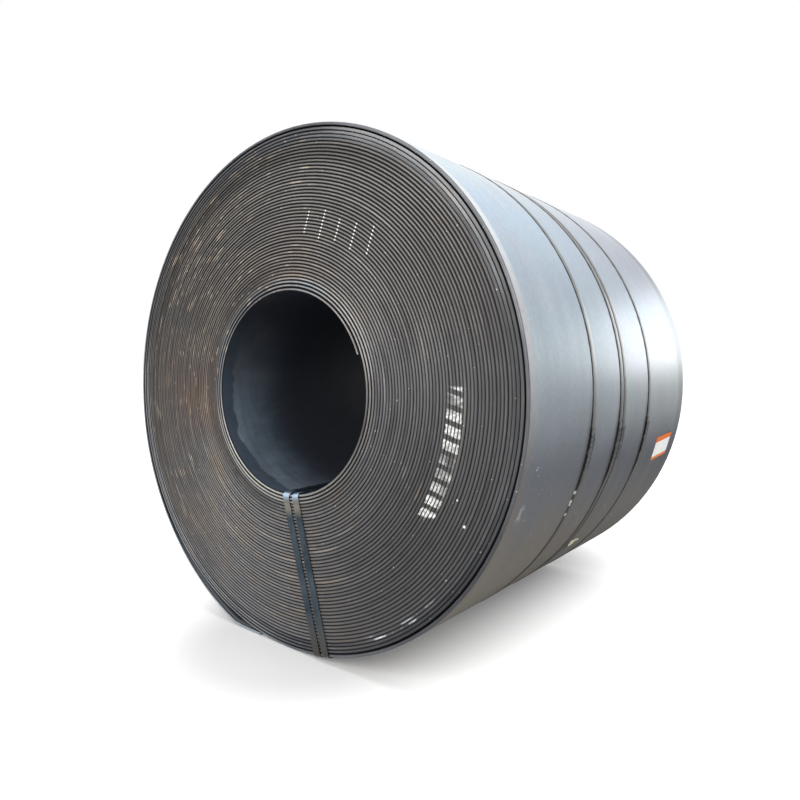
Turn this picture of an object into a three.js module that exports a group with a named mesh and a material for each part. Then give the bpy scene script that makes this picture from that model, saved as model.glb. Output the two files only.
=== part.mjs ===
// A hot-rolled steel coil lying on its side: one long strip wound into a roll, its outer end sprung
// off the roll. Four steel straps hold it round the outside and two go through the bore. Each strap
// is an open band whose two ends lie one on the other inside folded seals. A blank label is stuck
// near the rear edge. Millimetres, +Z up; the roll's axis lies along Y and its front end faces -Y.
// The origin is on the floor, under the middle of the object's box.
import * as THREE from "three";

// The strip and its roll. Angles run from +X towards +Z, and the turns grow that way.
const PITCH = 12.3; // a 12 mm strip, with the scale and air between two turns
const WIDTH = 1630; // across the strip, so the length of the roll
const BORE_RADIUS = 377; // where the strip starts
const TURNS = 48; // whole turns at the bottom of the roll
const SIDES = 32; // flats to one turn
const EDGE_DROP = 3; // how far the strip's rounded edge falls back between two turns
const LOWEST_FLAT = 22; // flats from the strip's start to the flat that the roll lies on
const TAIL_ROOT = 14; // flats from the strip's start to where its outer end leaves the roll
const TAIL_KNEE = 21; // flats from the strip's start to where that end bends along the floor
const TAIL_LIFT = 22; // how far the knee has sprung off the roll
const TAIL_TIP = 21.63; // flats from the strip's start to the tip, back under the roll
const TIP_LIFT = 1.2; // how far the tip is off the roll

// Straps, seals and label.
const STRAP_WIDTH = 32;
const STRAP_THICK = 1;
const GAP = 0.35; // between two pieces that touch
const RING_STRAPS = { front: 495, middle_front: 768, middle_rear: 804, rear: 1106 }; // from the front end
const SEAL_LENGTH = 57;
const SEAL_SPACING = 70;
const SEAL_SHEET = 1;
const SEAL_MOUTH = 10; // between the seal's two folded flanges
const SEAL_FLAT = 29; // the flat that carries the ring straps' seals
const UNDER_END = 75; // the strap's lower end, past the middle of its seals
const UPPER_END = 85; // its upper end, past the middle of its seals
const EYE_HEIGHT = 4.5; // of the straps through the bore over the steel, on their soft bends
const BEND_RADIUS = 18; // of those straps over the edges of the roll
const BEND_STEPS = 5;
const LABEL_FROM = 1315; // along the roll, from the front end
const LABEL_TO = 1521;
const LABEL_TOP = 16; // below the middle of the seals' flat
const LABEL_BOTTOM = 67; // above the middle of the next flat down
const LABEL_THICK = 0.4;

// Each strap through the bore: the flat that it lies on in the bore and on the outside, and how far
// along that flat from its middle.
const EYE_STRAPS = {
  left: { boreFlat: 22, boreShift: 7.3, outerFlat: 23, outerShift: -21.5 },
  right: { boreFlat: 23, boreShift: -21.5, outerFlat: 23, outerShift: 21.5 },
};

const FLAT_ANGLE = (2 * Math.PI) / SIDES;
const START_ANGLE = 1.5 * Math.PI - (LOWEST_FLAT + 0.5) * FLAT_ANGLE; // where the strip starts
const CORNER = 1 / Math.cos(FLAT_ANGLE / 2); // a corner's radius over its flat's
const AXIS = new THREE.Vector3(0, 1, 0);

const STEEL = { color: 0x4b4a49, roughness: 0.6, metalness: 0.85 };
const STRAP_STEEL = { color: 0x2b333a, roughness: 0.4, metalness: 0.85 };
const SEAL_STEEL = { color: 0x24282c, roughness: 0.5, metalness: 0.85 };
const PAPER = { color: 0xf0efec, roughness: 0.8, metalness: 0 };

const angleAt = (flat) => START_ANGLE + flat * FLAT_ANGLE;
const outward = (angle) => new THREE.Vector3(Math.cos(angle), 0, Math.sin(angle));
const turning = (angle) => new THREE.Vector3(-Math.sin(angle), 0, Math.cos(angle));

// Radius of the seam between two turns, counted from the bore, some flats after the strip's start.
const seamRadius = (turn, flat) => BORE_RADIUS + PITCH * (turn + flat / SIDES);

const tailLift = (flat) => TAIL_LIFT * Math.max(0, (flat - TAIL_ROOT) / (TAIL_KNEE - TAIL_ROOT)) ** 2;

// Radius of the outside of the roll, out to the tail's knee and then on the turn beneath it.
function outerRadius(flat) {
  return flat <= TAIL_KNEE ? seamRadius(TURNS + 1, flat) + tailLift(flat) : seamRadius(TURNS, flat);
}

// Radius of a point between two corners of the turn under the tail's tip, some way off the steel.
function tipRadius(off) {
  const fromMiddle = (TAIL_TIP - TAIL_KNEE - 0.5) * FLAT_ANGLE;
  return seamRadius(TURNS, TAIL_TIP) / Math.cos(fromMiddle) + off;
}

// Collects points and faces, and makes a geometry of them. Faces are seen anticlockwise.
class Skin {
  points = [];
  faces = [];

  point(position) {
    this.points.push(position.x, position.y, position.z);
    return this.points.length / 3 - 1;
  }

  face(...corners) {
    for (let i = 2; i < corners.length; i++) {
      this.faces.push(corners[0], corners[i - 1], corners[i]);
    }
  }

  geometry() {
    const geometry = new THREE.BufferGeometry();
    geometry.setAttribute("position", new THREE.Float32BufferAttribute(this.points, 3));
    geometry.setIndex(this.faces);
    geometry.computeVertexNormals();
    return geometry;
  }
}

// A point on the roll's end. An even row is the seam between two turns, where the rounded edges
// fall back, and an odd row is the crest of a turn. End is -1 for the front and 1 for the rear.
function stripPoint(flat, radius, row, end) {
  const drop = row % 2 === 0 ? EDGE_DROP : 0;
  return outward(angleAt(flat)).multiplyScalar(radius).setY(end * (WIDTH / 2 - drop));
}

const stripCorner = (flat, row, end, lift = 0) =>
  stripPoint(flat, (seamRadius(row / 2, flat) + lift) * CORNER, row, end);

// The wound strip as one solid. The turns are a spiral, so going once round leads two rows up. Its
// start makes a step in the bore, and its last turn leaves the roll as a tail with a gap under it.
function coilGeometry() {
  const skin = new Skin();
  const tailRow = 2 * TURNS;
  const topRow = (flat) => (flat <= TAIL_ROOT ? tailRow + 2 : tailRow);
  const roll = [];
  const tail = [];
  for (let flat = 0; flat < SIDES; flat++) {
    roll.push([]);
    for (let row = 0; row <= topRow(flat); row++) {
      roll[flat].push([-1, 1].map((end) => skin.point(stripCorner(flat, row, end))));
    }
  }
  roll.push(roll[0].slice(2));
  tail[TAIL_ROOT] = roll[TAIL_ROOT].slice(tailRow);
  const tailRows = (place) => [0, 1, 2].map((row) => [-1, 1].map((end) => skin.point(place(row, end))));
  for (let flat = TAIL_ROOT + 1; flat <= TAIL_KNEE; flat++) {
    tail[flat] = tailRows((row, end) => stripCorner(flat, tailRow + row, end, tailLift(flat)));
  }
  const tipRow = (row) => tipRadius(TIP_LIFT + (row * PITCH) / 2);
  tail.push(tailRows((row, end) => stripPoint(TAIL_TIP, tipRow(row), row, end)));

  // One flat of a stack of rows: its two ends, its inner side and its outer side.
  function stack(here, next, rows) {
    for (let row = 0; row < rows; row++) {
      skin.face(here[row][0], here[row + 1][0], next[row + 1][0], next[row][0]);
      skin.face(here[row][1], next[row][1], next[row + 1][1], here[row + 1][1]);
    }
    skin.face(here[0][0], next[0][0], next[0][1], here[0][1]);
    skin.face(here[rows][0], here[rows][1], next[rows][1], next[rows][0]);
  }

  for (let flat = 0; flat < SIDES; flat++) {
    stack(roll[flat], roll[flat + 1], flat < TAIL_ROOT ? tailRow + 2 : tailRow);
  }
  for (let flat = TAIL_ROOT; flat <= TAIL_KNEE; flat++) {
    stack(tail[flat], tail[flat + 1], 2);
  }
  const start = roll[0];
  const tip = tail.at(-1);
  skin.face(start[0][0], start[0][1], start[1][1], start[2][1], start[2][0], start[1][0]);
  skin.face(tip[0][0], tip[1][0], tip[2][0], tip[2][1], tip[1][1], tip[0][1]);
  return skin.geometry();
}

// A flat band with closed ends. A station is a point at mid-thickness, with the way up from what
// the band lies on and the way across it, which is up crossed with the way along.
function bandGeometry(stations, width, thick) {
  const skin = new Skin();
  const sections = stations.map(({ at, up, across }) =>
    [[-1, -1], [1, -1], [1, 1], [-1, 1]].map(([side, face]) =>
      skin.point(
        at
          .clone()
          .addScaledVector(across, (side * width) / 2)
          .addScaledVector(up, (face * thick) / 2),
      ),
    ),
  );
  for (let i = 1; i < sections.length; i++) {
    for (let corner = 0; corner < 4; corner++) {
      const next = (corner + 1) % 4;
      skin.face(sections[i - 1][corner], sections[i - 1][next], sections[i][next], sections[i][corner]);
    }
  }
  skin.face(...sections[0].toReversed());
  skin.face(...sections.at(-1));
  return skin.geometry();
}

// Heights of a strap's middle over what it lies on: on the bare steel, and its two layers in a seal.
const LYING = GAP + STRAP_THICK / 2;
const UNDER = GAP + SEAL_SHEET + LYING;
const UPPER = UNDER + STRAP_THICK + GAP;
const EYE_RISE = EYE_HEIGHT - UNDER; // of the seals of the straps through the bore over the steel

// A point over a flat of the outside of the roll, some way along it from its middle.
function onFlat(flat, shift, height) {
  const middle = angleAt(flat + 0.5);
  const radius = (outerRadius(flat) + outerRadius(flat + 1)) / 2 + height;
  return outward(middle).multiplyScalar(radius).addScaledVector(turning(middle), shift);
}

// A strap round the outside, from its lower end in the seals, once round and over that end.
function ringStrapGeometry(along) {
  const across = AXIS.clone().negate();
  const stations = [];
  const overFlat = (shift, height) => {
    const at = onFlat(SEAL_FLAT, shift, height).setY(along);
    stations.push({ at, up: outward(angleAt(SEAL_FLAT + 0.5)), across });
  };
  const overCorner = (flat, height) => {
    const up = outward(angleAt(flat));
    const at = up.clone().multiplyScalar((outerRadius(flat) + height) * CORNER).setY(along);
    stations.push({ at, up, across });
  };
  overFlat(-UNDER_END, UNDER);
  overFlat(UNDER_END, UNDER);
  for (let flat = SEAL_FLAT + 1; flat < SIDES; flat++) overCorner(flat, LYING);
  for (let flat = 0; flat <= TAIL_KNEE; flat++) overCorner(flat, LYING);
  const tipUp = outward(angleAt(TAIL_TIP));
  const underTip = tipUp.clone().multiplyScalar(tipRadius(TIP_LIFT + PITCH + LYING));
  stations.push({ at: underTip.setY(along), up: tipUp, across });
  for (let flat = TAIL_KNEE + 1; flat < SEAL_FLAT; flat++) overCorner(flat, LYING);
  overCorner(SEAL_FLAT, UNDER);
  overFlat(-UNDER_END - STRAP_THICK, UPPER);
  overFlat(UPPER_END, UPPER);
  return bandGeometry(stations, STRAP_WIDTH, STRAP_THICK);
}

// The places where a strap through the bore lies on the roll: a point on the steel, the way up from
// it, and the way across the strap.
function eyeSeats({ boreFlat, boreShift, outerFlat, outerShift }) {
  const boreAngle = angleAt(boreFlat + 0.5);
  const outerAngle = angleAt(outerFlat + 0.5);
  const boreAt = outward(boreAngle)
    .multiplyScalar(seamRadius(0, boreFlat + 0.5))
    .addScaledVector(turning(boreAngle), boreShift);
  return {
    bore: { at: boreAt, up: outward(boreAngle).negate(), across: turning(boreAngle) },
    outer: { at: onFlat(outerFlat, outerShift, 0), up: outward(outerAngle), across: turning(outerAngle) },
  };
}

// The middle of a bend over an edge of the roll, at one of its ends.
function bendMiddle(seat, end) {
  const middle = seat.at.clone().addScaledVector(seat.up, EYE_HEIGHT - BEND_RADIUS);
  return middle.setY(end * (WIDTH / 2 + EYE_HEIGHT - BEND_RADIUS));
}

// The run of an eye strap across one end of the roll: its two bends' middles and its way across.
function eyeRun(seats, end) {
  const inner = bendMiddle(seats.bore, end);
  const outer = bendMiddle(seats.outer, end);
  const up = AXIS.clone().multiplyScalar(end);
  const along = inner.clone().sub(outer).normalize();
  return { inner, outer, up, along, across: up.clone().cross(along).multiplyScalar(end) };
}

// A strap through the bore: from its lower end in the seal on the rear end of the roll, through the
// bore to the front, down the front, back under the roll and up the rear, over that lower end.
function eyeStrapGeometry(seats) {
  const stations = [];
  const front = eyeRun(seats, -1);
  const rear = eyeRun(seats, 1);
  const overRear = (shift, height) => {
    const at = rear.inner.clone().lerp(rear.outer, 0.5).addScaledVector(rear.along, shift);
    stations.push({ at: at.setY(WIDTH / 2 + EYE_RISE + height), up: rear.up, across: rear.across });
  };
  const bend = (middle, from, to, across) => {
    for (let step = 0; step <= BEND_STEPS; step++) {
      const turn = ((step / BEND_STEPS) * Math.PI) / 2;
      const up = from.up.clone().multiplyScalar(Math.cos(turn)).addScaledVector(to.up, Math.sin(turn));
      stations.push({ at: middle.clone().addScaledVector(up, BEND_RADIUS), up, across });
    }
  };
  overRear(-UNDER_END / 2, UNDER);
  overRear(UNDER_END / 2, UNDER);
  bend(rear.inner, rear, seats.bore, seats.bore.across);
  bend(front.inner, seats.bore, front, seats.bore.across);
  bend(front.outer, front, seats.outer, seats.outer.across);
  bend(rear.outer, seats.outer, rear, seats.outer.across);
  overRear(-UNDER_END / 2 - STRAP_THICK, UPPER);
  overRear(UPPER_END / 2, UPPER);
  return bandGeometry(stations, STRAP_WIDTH, STRAP_THICK);
}

// A seal: a sheet folded round both layers of a strap, with its flanges' mouth underneath. It lies
// across X and stands up along Y, and its length runs along Z, from its middle.
function sealGeometry() {
  const inside = STRAP_WIDTH / 2 + GAP;
  const outside = inside + SEAL_SHEET;
  const roof = UPPER + STRAP_THICK / 2 + GAP;
  const section = new THREE.Shape();
  section.moveTo(SEAL_MOUTH / 2, GAP);
  section.lineTo(outside, GAP);
  section.lineTo(outside, roof + SEAL_SHEET);
  section.lineTo(-outside, roof + SEAL_SHEET);
  section.lineTo(-outside, GAP);
  section.lineTo(-SEAL_MOUTH / 2, GAP);
  section.lineTo(-SEAL_MOUTH / 2, GAP + SEAL_SHEET);
  section.lineTo(-inside, GAP + SEAL_SHEET);
  section.lineTo(-inside, roof);
  section.lineTo(inside, roof);
  section.lineTo(inside, GAP + SEAL_SHEET);
  section.lineTo(SEAL_MOUTH / 2, GAP + SEAL_SHEET);
  const folded = new THREE.ExtrudeGeometry(section, { depth: SEAL_LENGTH, bevelEnabled: false });
  return folded.translate(0, 0, -SEAL_LENGTH / 2);
}

// The label, bent over the corner between two flats. It leaves out the seals' row.
function labelGeometry() {
  const height = GAP + LABEL_THICK / 2;
  const along = (LABEL_FROM + LABEL_TO - WIDTH) / 2;
  const across = AXIS.clone().negate();
  const corner = outward(angleAt(SEAL_FLAT));
  const stations = [
    {
      at: onFlat(SEAL_FLAT - 1, LABEL_BOTTOM, height).setY(along),
      up: outward(angleAt(SEAL_FLAT - 0.5)),
      across,
    },
    {
      at: corner.clone().multiplyScalar((outerRadius(SEAL_FLAT) + height) * CORNER).setY(along),
      up: corner,
      across,
    },
    {
      at: onFlat(SEAL_FLAT, -LABEL_TOP, height).setY(along),
      up: outward(angleAt(SEAL_FLAT + 0.5)),
      across,
    },
  ];
  return bandGeometry(stations, LABEL_TO - LABEL_FROM, LABEL_THICK);
}

const roll = new THREE.Group();

function add(name, geometry, look) {
  const mesh = new THREE.Mesh(geometry, new THREE.MeshStandardMaterial(look));
  mesh.name = name;
  roll.add(mesh);
  return mesh;
}

// A seal set on the roll: across and up as its strap's there, at a point on the steel.
function addSeal(name, at, up, across) {
  const seal = add(name, sealGeometry(), SEAL_STEEL);
  seal.applyMatrix4(new THREE.Matrix4().makeBasis(across, up, across.clone().cross(up)).setPosition(at));
}

add("coil", coilGeometry(), STEEL);

for (const [place, fromFront] of Object.entries(RING_STRAPS)) {
  const along = fromFront - WIDTH / 2;
  add(`strap_${place}`, ringStrapGeometry(along), STRAP_STEEL);
  [-1, 1].forEach((side, i) => {
    const at = onFlat(SEAL_FLAT, (side * SEAL_SPACING) / 2, 0).setY(along);
    addSeal(`seal_${place}_${i + 1}`, at, outward(angleAt(SEAL_FLAT + 0.5)), AXIS);
  });
}

for (const [place, seat] of Object.entries(EYE_STRAPS)) {
  const seats = eyeSeats(seat);
  const rear = eyeRun(seats, 1);
  add(`eye_strap_${place}`, eyeStrapGeometry(seats), STRAP_STEEL);
  const at = rear.inner.clone().lerp(rear.outer, 0.5).setY(WIDTH / 2 + EYE_RISE);
  addSeal(`eye_seal_${place}`, at, rear.up, rear.across);
}

add("label", labelGeometry(), PAPER);

// The turns grow, so a flat leans a little. The roll turns until its lowest flat is level.
const flatWidth = 2 * outerRadius(LOWEST_FLAT) * Math.tan(FLAT_ANGLE / 2);
roll.rotation.y = -Math.atan(PITCH / SIDES / flatWidth);

const box = new THREE.Box3().setFromObject(roll, true);
const middle = box.getCenter(new THREE.Vector3());
roll.position.set(-middle.x, -middle.y, -box.min.z);

const coil = new THREE.Group();
coil.add(roll);

export default coil;
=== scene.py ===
import math
from contextlib import contextmanager

import bmesh
import bpy
import numpy as np
from mathutils import Matrix, Vector


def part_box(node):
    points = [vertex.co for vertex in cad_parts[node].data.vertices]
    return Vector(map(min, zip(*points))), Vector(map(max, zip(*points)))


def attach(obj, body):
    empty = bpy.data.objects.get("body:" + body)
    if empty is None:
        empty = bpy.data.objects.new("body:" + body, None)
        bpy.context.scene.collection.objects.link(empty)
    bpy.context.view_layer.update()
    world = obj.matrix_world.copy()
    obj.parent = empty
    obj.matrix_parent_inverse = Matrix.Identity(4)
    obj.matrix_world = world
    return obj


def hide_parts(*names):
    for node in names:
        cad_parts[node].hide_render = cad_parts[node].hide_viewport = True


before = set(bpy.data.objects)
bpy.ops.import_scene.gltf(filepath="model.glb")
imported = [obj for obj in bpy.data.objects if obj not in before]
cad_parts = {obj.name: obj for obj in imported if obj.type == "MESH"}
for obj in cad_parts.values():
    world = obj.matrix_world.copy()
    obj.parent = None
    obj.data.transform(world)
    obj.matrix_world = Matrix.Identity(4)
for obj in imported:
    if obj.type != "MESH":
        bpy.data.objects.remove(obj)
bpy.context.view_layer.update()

# The roll. Angles run from +X towards +Z, as the turns do.
AXIS_X = 0.0032
AXIS_Z = 0.9774
BORE_RADIUS = 0.377
OUTER_RADIUS = 0.98
PITCH = 0.0123
THICK = 0.012
TURN_ZERO = math.radians(16.99)  # where the spiral's radius is that of the bore
STRIP_START = math.radians(21.5)
WHOLE_TURNS = 48  # of the strip, before its last part of a turn
TAIL_ROOT = WHOLE_TURNS + 14 / 32  # turns to where the outer end leaves the roll
TAIL_KNEE = WHOLE_TURNS + 21 / 32  # turns to where it bends along the floor
TAIL_TIP = WHOLE_TURNS + 21.63 / 32
TAIL_LIFT = 0.0268  # of the knee off the roll
TIP_LIFT = 0.0014
STEPS = 120  # to a turn
EDGE_RADIUS = 0.0042  # of the strip's rolled edges
WANDER = 0.0012  # how far the turns' edges stray along the roll
STRAYS = ((0.37, 0.0, 0.45), (1.618, 1.0, 0.35), (2.73, 2.0, 0.2))  # in waves: rate, start, share

# How far the turns lie inside an even spiral, in turns and metres: they are loose by the bore and
# under the outermost wrap.
SLACK = (
    (0.0, 0.0025), (0.1, 0.0), (1.0, -0.0022), (2.0, -0.0034), (3.0, -0.004), (45.2, 0.0044),
    (46.2, 0.0044), (46.8, 0.0047), (46.95, 0.0042), (47.2, 0.0034), (47.35, 0.0044),
    (47.58, 0.0047), (47.64, 0.0035), (47.7, 0.0),
)
SETTLED = 0.75  # the share of that slack that the weight takes up at the bottom
SETTLED_SPREAD = 10  # how narrow the settled stretch is

# Straps, seals and label.
STRAP_WIDTH = 0.032
STRAP_THICK = 0.001
STRAP_EDGE = 0.00025  # how wide its edges are eased
GAP = 0.00035  # between two sheets
SEAL_SHEET = 0.001
SEAL_BEND = 0.0012  # the radius of its folds
SEAL_LENGTH = 0.057
SEAL_SPACING = 0.07
SEAL_ANGLE = math.radians(-11.1)  # the middle of the ring straps' seals
SEAL_MOUTH = 0.01
NOTCH_SPACING = 0.0175
NOTCHES = (-NOTCH_SPACING, 0.0, NOTCH_SPACING)  # along a seal, from its middle
NOTCH_DEPTH = 0.0035
NOTCH_HALF = 0.005  # of its length
UNDER_END = 0.075  # how far a strap's lower end goes past the middle of its seals
UPPER_END = 0.085  # and its upper end
LYING = GAP  # heights of a strap's underside: on the steel, and in its two layers in a seal
UNDER = 2 * GAP + SEAL_SHEET
UPPER = UNDER + STRAP_THICK + GAP
SEAL_WIDTH = STRAP_WIDTH + 2 * (GAP + SEAL_SHEET)
SEAL_TOP = UPPER + STRAP_THICK + GAP + SEAL_SHEET
RAMP = 0.055  # a strap's run from its seals down to the steel
STAND_OFFS = ((-17.8, 2.4, 0.0026), (-5.4, 1.5, 0.0013))  # by the seals: degrees, reach, height
RINGS = ("front", "middle_front", "middle_rear", "rear")
EYES = {"left": math.radians(16.2), "right": math.radians(15.8)}  # how they slant
EYE_EASE = 0.0015  # how wide the creases of their bends are eased
PAPER_THICK = 0.0003
PAPER_CUTS = 9  # across a sheet, each way
LABEL_TOP = math.radians(-12.2)
LABEL_BOTTOM = math.radians(-18.5)
LABEL_TURN = math.radians(-3.5)
LABEL_BANDS = (0.024, 0.014)  # the heights of its orange bands, at its top and bottom
PEEL_FROM = 0.55  # the label comes off from here to its corner, which is at 1
PEEL_LIFT = 0.02
SCRAP_ANGLE = math.radians(-38.9)
SCRAP_SIZE = 0.058
SCRAP_SHARES = (0.8, 1.1)  # of that size, round the roll and along it
SCRAP_TEARS = ((3, 0.6, 0.22), (7, 0, 0.13), (13, 2, 0.08))  # in waves: number, start, share
SCRAP_CURL = 0.009

REACH = OUTER_RADIUS  # a flat piece's X is a way round the roll at this radius
FIRST_SEALS = SEAL_ANGLE * REACH  # where a flat ring strap is gripped: at its start, and at its end
LAST_SEALS = FIRST_SEALS + 2 * math.pi * REACH

# White paint on the front end, in shares of the outer radius: a row of bars in an arc, and a row of
# slanting strokes above the bore.
BARS_RADIUS = 0.753
BARS_DROP = 0.17  # of the row's middle below the axis
BARS_HALF_ROW = 0.21
BARS_SPACING = 0.05
BARS_SLANT = 0.3
BAR_HALF = 0.03  # of its length
BAR_GAP = 0.0075  # half the space between two bars
STROKES_LEAN = math.radians(20)
STROKES_HEIGHT = 0.64
STROKES_SPACING = 0.08
STROKE_HALF = 0.05

# Dabs of it by the foremost strap: an angle in degrees, a way behind its near edge, and a size.
DABS = ((-19.6, 0, 0.009), (-21.8, -0.002, 0.011), (-22.5, 0, 0.007), (-24.8, 0.004, 0.008))

# Where the strip's look changes, in turns.
INNER_TURNS = (3.6, 2.8)
OUTER_TURNS = (43.6, 44.8)
HIGHLIT_TURNS = (45.6, 46)
TAIL_SHOWS = (48.54, 48.62)  # on its inner side

# Light.
LIT_WAY = math.radians(37)  # the way from the axis in which the turns' edges catch most light
SKY_LIGHT = 0.55
FLOOR_GLOW = 0.8
NEAR_GLOW = 0.1  # the share of it under the roll

low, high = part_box("coil")
FRONT, REAR = low.y, high.y
MIDDLE = (FRONT + REAR) / 2
MIDDLE_STRAPS = MIDDLE - 0.032  # about halfway between the two
SCRAP_Y = FRONT + 0.861


# ------------------------ the roll's form
def chord(angle, first, first_radius, last, last_radius):
    """The radius along a straight line between two points of the roll's section."""
    near = np.sin(last - angle) / first_radius
    far = np.sin(angle - first) / last_radius
    return math.sin(last - first) / (near + far)


def angle_of(turns):
    return TURN_ZERO + 2 * np.pi * turns


def seat_radius(angle):
    """The inner face of the strip, at an angle that keeps counting from turn to turn."""
    turns = (angle - TURN_ZERO) / (2 * np.pi)
    slack = np.interp(turns, *zip(*SLACK))
    settled = SETTLED * np.clip(-np.sin(angle), 0, 1) ** SETTLED_SPREAD
    spiral = BORE_RADIUS + PITCH * turns - slack * (1 - settled)
    sprung = TAIL_LIFT * np.clip((turns - TAIL_ROOT) / (TAIL_KNEE - TAIL_ROOT), 0, None) ** 2
    knee_radius = BORE_RADIUS + PITCH * TAIL_KNEE + TAIL_LIFT
    tip_radius = BORE_RADIUS + PITCH * (TAIL_TIP - 1) + THICK + TIP_LIFT
    along_floor = chord(angle, angle_of(TAIL_KNEE), knee_radius, angle_of(TAIL_TIP), tip_radius)
    return np.where(turns > TAIL_KNEE, along_floor, spiral + sprung)


def outer_radius(angle):
    """The outside of the roll: the tail as far as its tip, and the turn beneath from there."""
    turns = ((angle - TURN_ZERO) / (2 * np.pi)) % 1
    last = np.where(turns <= TAIL_TIP - WHOLE_TURNS, WHOLE_TURNS, WHOLE_TURNS - 1)
    return seat_radius(angle_of(last + turns)) + THICK


def band_radius(angle):
    """Where a tight strap lies: on the roll, and straight from the tail's tip down to it."""
    tip = angle_of(TAIL_TIP)
    just_before, bottom = tip - 1e-6, 1.5 * np.pi
    tip_radius = float(outer_radius(np.array(just_before)))
    roll_radius = float(outer_radius(np.array(bottom)))
    free = math.acos(roll_radius / tip_radius)
    past = (angle - tip) % (2 * np.pi)
    straight = roll_radius / np.cos(free - past)
    roll = outer_radius(angle)
    return np.where(past < free, np.maximum(straight, roll), roll) + stand_off(angle)


def stand_off(angle):
    """The stiff seals lie straight, so a strap stands a little off the roll at both ends of them."""
    degrees = np.degrees((angle + np.pi) % (2 * np.pi) - np.pi)
    return sum(
        height * np.exp(-(((degrees - middle) / reach) ** 2)) for middle, reach, height in STAND_OFFS
    )


# ------------------------ modelling by hand
def take(piece):
    bpy.ops.object.select_all(action="DESELECT")
    piece.select_set(True)
    bpy.context.view_layer.objects.active = piece


@contextmanager
def editing(piece, kind="FACE", every=False):
    """Edit mode on one piece, with nothing or everything selected."""
    take(piece)
    bpy.ops.object.mode_set(mode="EDIT")
    bpy.ops.mesh.select_mode(type=kind)
    bpy.ops.mesh.select_all(action="SELECT" if every else "DESELECT")
    yield bmesh.from_edit_mesh(piece.data)
    bpy.ops.object.mode_set(mode="OBJECT")


def pick(mesh, parts, wanted):
    """Selects the faces, edges or vertices whose middle passes a test."""
    for part in parts:
        part.select_set(bool(wanted(middle_of(part))))
    mesh.select_flush_mode()


def middle_of(part):
    return sum((vertex.co for vertex in part.verts), Vector()) / len(part.verts)


def box(name, size, place=(0, 0, 0)):
    bpy.ops.mesh.primitive_cube_add(size=1, location=place)
    piece = bpy.context.active_object
    piece.name = piece.data.name = name
    piece.scale = size
    settle(piece)
    return piece


def settle(piece):
    """Puts a piece's place, turn and size into its mesh."""
    take(piece)
    bpy.ops.object.transform_apply(location=True, rotation=True, scale=True)


def copy_of(piece, name, move=(0, 0, 0)):
    twin = bpy.data.objects.new(name, piece.data.copy())
    twin.data.name = name
    bpy.context.scene.collection.objects.link(twin)
    twin.location = move
    settle(twin)
    return twin



def shape(piece, kind, **settings):
    """Adds a modifier and applies it."""
    take(piece)
    modifier = piece.modifiers.new(kind.title(), kind)
    for key, value in settings.items():
        setattr(modifier, key, value)
    bpy.ops.object.modifier_apply(modifier=modifier.name)


def cut(piece, places, axis=0):
    """Cuts a piece all the way across at some places along an axis."""
    for place in places:
        at = [0, 0, 0]
        way = [0, 0, 0]
        at[axis], way[axis] = place, 1
        with editing(piece, "VERT", every=True):
            bpy.ops.mesh.bisect(plane_co=at, plane_no=way)


def smooth(piece, degrees=50):
    """Shades a piece smooth, but for its sharper edges."""
    take(piece)
    bpy.ops.object.shade_smooth_by_angle(angle=math.radians(degrees))


def points_of(piece):
    points = np.empty(len(piece.data.vertices) * 3)
    piece.data.vertices.foreach_get("co", points)
    return points.reshape(-1, 3)


def put_points(piece, points):
    piece.data.vertices.foreach_set("co", points.ravel())
    piece.data.update()


def note_flat(piece):
    """Keeps a flat piece's places, for the finishes that follow the steel when it is bent."""
    kept = piece.data.attributes.new("flat", "FLOAT_VECTOR", "POINT")
    kept.data.foreach_set("vector", points_of(piece).ravel())


def wind(piece, radius_at, stray_at=None):
    """Bends a flat piece round the roll: X goes round it, Y along it, and Z out from a radius."""
    around, along, out = points_of(piece).T
    angle = around / REACH
    radius = radius_at(angle) + out
    stray = stray_at(angle) if stray_at else 0
    wound = [AXIS_X + radius * np.cos(angle), along + stray, AXIS_Z + radius * np.sin(angle)]
    put_points(piece, np.stack(wound, axis=1))
    piece.data.flip_normals()


def keep(piece, slot, finish, *nodes):
    """A finished piece: its finish, what it rides on, and the CAD nodes that it stands for."""
    piece.data.materials.clear()
    piece.data.materials.append(finish)
    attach(piece, "root")
    if nodes:
        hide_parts(*nodes)


# ------------------------ the strip
def strip_stray(angle):
    """How far a turn's edges stray along the roll: slowly round a turn, and from turn to turn."""
    way = angle - TURN_ZERO
    return WANDER * sum(share * np.sin(way * rate + start) for rate, start, share in STRAYS)


def make_strip():
    """The whole strip: one step of it is shaped and repeated to its full length, and then wound."""
    step = 2 * math.pi * REACH / STEPS
    count = round((angle_of(TAIL_TIP) - STRIP_START) * REACH / step)
    width = REAR - FRONT - 2 * WANDER
    strip = box("coil_strip", (step, width, THICK), (0, MIDDLE, THICK / 2))
    with editing(strip) as mesh:
        pick(mesh, mesh.faces, lambda at: abs(at.x) > step / 4)
        bpy.ops.mesh.delete(type="ONLY_FACE")
    with editing(strip, "EDGE") as mesh:
        pick(mesh, mesh.edges, lambda at: abs(at.x) < step / 4)
        bpy.ops.mesh.bevel(offset=EDGE_RADIUS, segments=3)
    shape(strip, "ARRAY", count=count, use_merge_vertices=True, merge_threshold=step / 100)
    with editing(strip, "EDGE", every=True):
        bpy.ops.mesh.fill_holes(sides=0)
    points = points_of(strip)
    points[:, 0] += STRIP_START * REACH - points[:, 0].min()
    put_points(strip, points)
    note_flat(strip)
    wind(strip, seat_radius, strip_stray)
    smooth(strip)
    return strip


# ------------------------ straps and seals
def pinch(along):
    """How deep the crimps are pressed into an edge, along a seal from its middle."""
    off = np.min(np.abs(np.subtract.outer(along, NOTCHES)), axis=-1)
    return NOTCH_DEPTH * np.cos(np.pi / 2 * np.clip(off / NOTCH_HALF, 0, 1)) ** 2


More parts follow.
